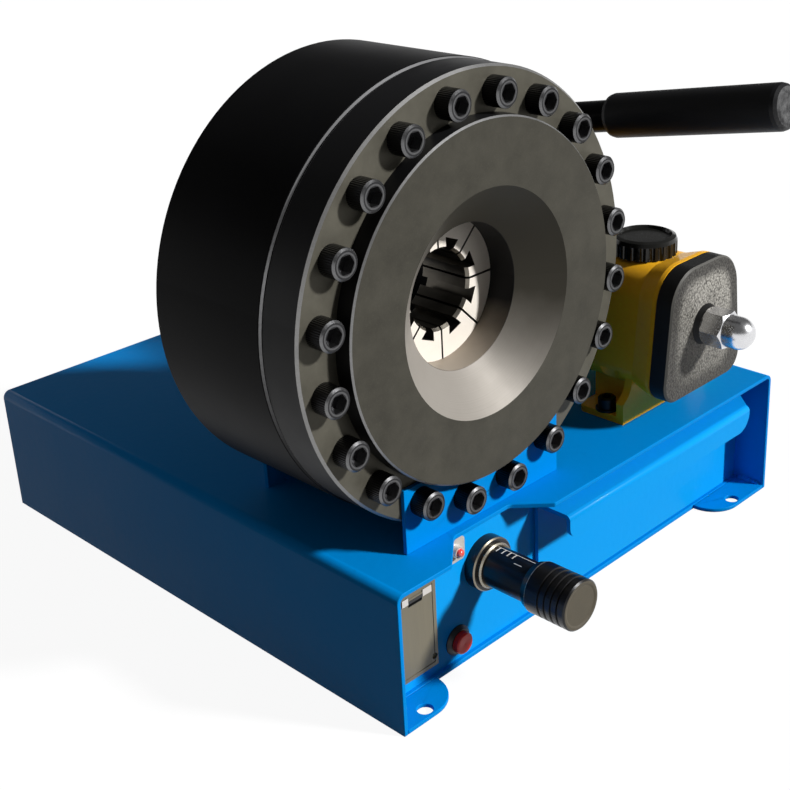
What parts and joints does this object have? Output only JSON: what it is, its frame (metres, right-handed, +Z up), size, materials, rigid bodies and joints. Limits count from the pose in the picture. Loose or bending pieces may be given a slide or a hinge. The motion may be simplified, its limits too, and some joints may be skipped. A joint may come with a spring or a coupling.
{
  "type": "hose crimping machine",
  "caption": "Bench hose crimping machine: round hydraulic crimping head with radial dies, hand pump with lever, sheet steel base with die drawer and micrometer stop.",
  "frame": {"origin": "middle of the four foot bolt holes, on the surface that the base stands on", "axes": "X to the right seen from the drawer side, Y to the back away from the crimping mouth, Z up"},
  "size_m": [0.428, 0.4864, 0.375],
  "materials": {
    "blue_paint": "gloss blue paint",
    "black_oxide": "black oxide",
    "cover_steel": "dark satin steel with a bare turned mouth",
    "die_steel": "machined and hardened",
    "ground_steel": "ground",
    "zinc_steel": "zinc plated",
    "spring_steel": "bright wire",
    "chrome_trim": "polished",
    "brass_ring": "turned",
    "black_anodised": "black anodised",
    "red_plastic": "moulded red",
    "black_plastic": "moulded black",
    "dark_plastic": "moulded dark olive black",
    "battery_case": "printed can",
    "tray_steel": "galvanised sheet",
    "yellow_paint": "gloss yellow paint on a casting",
    "black_casting": "black painted casting",
    "black_steel": "gloss black",
    "black_rubber": "moulded"
  },
  "bodies": {
    "base": {"base_shell": "blue_paint", "front_panel": "blue_paint", "rear_panel": "blue_paint", "bottom_plate": "blue_paint", "foot_ears": "blue_paint", "front_bracket": "blue_paint", "rear_bracket": "blue_paint", "head_body": "black_oxide", "head_bolts": "black_oxide", "pump_bolts": "black_oxide", "head_cover": "cover_steel", "tie_rod": "ground_steel", "pivot_pin": "ground_steel", "panel_nuts": "zinc_steel", "pressure_pipe": "zinc_steel", "pipe_fittings": "zinc_steel", "plunger_gland": "zinc_steel", "drawer_rails": "zinc_steel", "die_springs": "spring_steel", "button_spring": "spring_steel", "lamp_bezel": "chrome_trim", "acorn_nut": "chrome_trim", "micrometer_ring": "brass_ring", "micrometer_flange": "black_anodised", "micrometer_barrel": "black_anodised", "lamp_lens": "red_plastic", "button_bezel": "black_plastic", "battery_box": "dark_plastic", "pump_tank": "yellow_paint", "pump_end_cap": "black_casting", "pump_block": "black_casting", "tank_gaskets": "black_rubber"},
    "drawer": {"drawer_front": "blue_paint", "drawer_tray": "tray_steel", "drawer_divider": "tray_steel"},
    "piston": {"piston": "ground_steel", "piston_seals": "black_rubber", "follower_arm": "ground_steel"},
    "die_1": {"die_1": "die_steel"},
    "die_2": {"die_2": "die_steel"},
    "die_3": {"die_3": "die_steel"},
    "die_4": {"die_4": "die_steel"},
    "die_5": {"die_5": "die_steel"},
    "die_6": {"die_6": "die_steel"},
    "die_7": {"die_7": "die_steel"},
    "die_8": {"die_8": "die_steel"},
    "spindle": {"micrometer_spindle": "ground_steel"},
    "thimble": {"micrometer_thimble": "black_anodised"},
    "battery_drawer": {"battery_drawer": "dark_plastic", "battery": "battery_case"},
    "button": {"button_cap": "red_plastic"},
    "lever": {"lever_yoke": "black_steel", "lever_tube": "black_steel", "lever_grip": "black_rubber"},
    "plunger": {"pump_plunger": "ground_steel", "plunger_pin": "ground_steel"},
    "release_knob": {"release_knob": "black_plastic"},
    "filler_seal": {"filler_seal": "black_rubber"},
    "filler_cap": {"filler_cap": "black_plastic"}
  },
  "joints": [
    {"name": "piston_slide", "type": "slide", "parent": "base", "child": "piston", "axis": [0, 1, 0], "range_m": [-0.0032, 0.0257], "deforming": ["die_springs"]},
    {"name": "die_1_slide", "type": "slide", "parent": "base", "child": "die_1", "axis": [0.9239, 0, 0.3827], "range_m": [-0.0016, 0.0121]},
    {"name": "die_2_slide", "type": "slide", "parent": "base", "child": "die_2", "axis": [0.3827, 0, 0.9239], "range_m": [-0.0016, 0.0121]},
    {"name": "die_3_slide", "type": "slide", "parent": "base", "child": "die_3", "axis": [-0.3827, 0, 0.9239], "range_m": [-0.0016, 0.0121]},
    {"name": "die_4_slide", "type": "slide", "parent": "base", "child": "die_4", "axis": [-0.9239, 0, 0.3827], "range_m": [-0.0016, 0.0121]},
    {"name": "die_5_slide", "type": "slide", "parent": "base", "child": "die_5", "axis": [-0.9239, 0, -0.3827], "range_m": [-0.0016, 0.0121]},
    {"name": "die_6_slide", "type": "slide", "parent": "base", "child": "die_6", "axis": [-0.3827, 0, -0.9239], "range_m": [-0.0016, 0.0121]},
    {"name": "die_7_slide", "type": "slide", "parent": "base", "child": "die_7", "axis": [0.3827, 0, -0.9239], "range_m": [-0.0016, 0.0121]},
    {"name": "die_8_slide", "type": "slide", "parent": "base", "child": "die_8", "axis": [0.9239, 0, -0.3827], "range_m": [-0.0016, 0.0121]},
    {"name": "micrometer_feed", "type": "slide", "parent": "base", "child": "spindle", "axis": [0, 1, 0], "range_m": [-0.004, 0.004]},
    {"name": "micrometer_turn", "type": "hinge", "parent": "spindle", "child": "thimble", "pos_m": [-0.0905, -0.24, 0.063], "axis": [0, 1, 0], "range_deg": [-1440, 1440]},
    {"name": "drawer_slide", "type": "slide", "parent": "base", "child": "drawer", "axis": [0, -1, 0], "range_m": [0, 0.2]},
    {"name": "battery_slide", "type": "slide", "parent": "base", "child": "battery_drawer", "axis": [0, -1, 0], "range_m": [0, 0.018]},
    {"name": "button_press", "type": "slide", "parent": "base", "child": "button", "axis": [0, 1, 0], "range_m": [0, 0.0025], "stiffness_N_per_m": 800, "springref_m": -0.001, "deforming": ["button_spring"]},
    {"name": "lever_swing", "type": "hinge", "parent": "base", "child": "lever", "pos_m": [0.113, 0.0355, 0.269], "axis": [-1, 0, 0], "range_deg": [-14, 45]},
    {"name": "plunger_slide", "type": "slide", "parent": "base", "child": "plunger", "axis": [0, 0, 1], "range_m": [-0.0056, 0.0172]},
    {"name": "release_turn", "type": "hinge", "parent": "base", "child": "release_knob", "pos_m": [0.165, 0.0135, 0.137], "axis": [1, 0, 0], "range_deg": [0, 270]},
    {"name": "filler_lift", "type": "slide", "parent": "base", "child": "filler_seal", "axis": [0, 0, 1], "range_m": [0, 0.005]},
    {"name": "filler_turn", "type": "hinge", "parent": "filler_seal", "child": "filler_cap", "pos_m": [0.113, -0.162, 0.21], "axis": [0, 0, 1], "range_deg": [0, 900]}
  ],
  "couplings": [
    {"joint": "die_1_slide", "follows": "piston_slide", "ratio": 0.46631},
    {"joint": "die_2_slide", "follows": "piston_slide", "ratio": 0.46631},
    {"joint": "die_3_slide", "follows": "piston_slide", "ratio": 0.46631},
    {"joint": "die_4_slide", "follows": "piston_slide", "ratio": 0.46631},
    {"joint": "die_5_slide", "follows": "piston_slide", "ratio": 0.46631},
    {"joint": "die_6_slide", "follows": "piston_slide", "ratio": 0.46631},
    {"joint": "die_7_slide", "follows": "piston_slide", "ratio": 0.46631},
    {"joint": "die_8_slide", "follows": "piston_slide", "ratio": 0.46631},
    {"joint": "micrometer_turn", "follows": "micrometer_feed", "rad_per_m": 6283.2},
    {"joint": "plunger_slide", "follows": "lever_swing", "m_per_rad": 0.0212},
    {"joint": "filler_turn", "follows": "filler_lift", "rad_per_m": 3141.6}
  ]
}
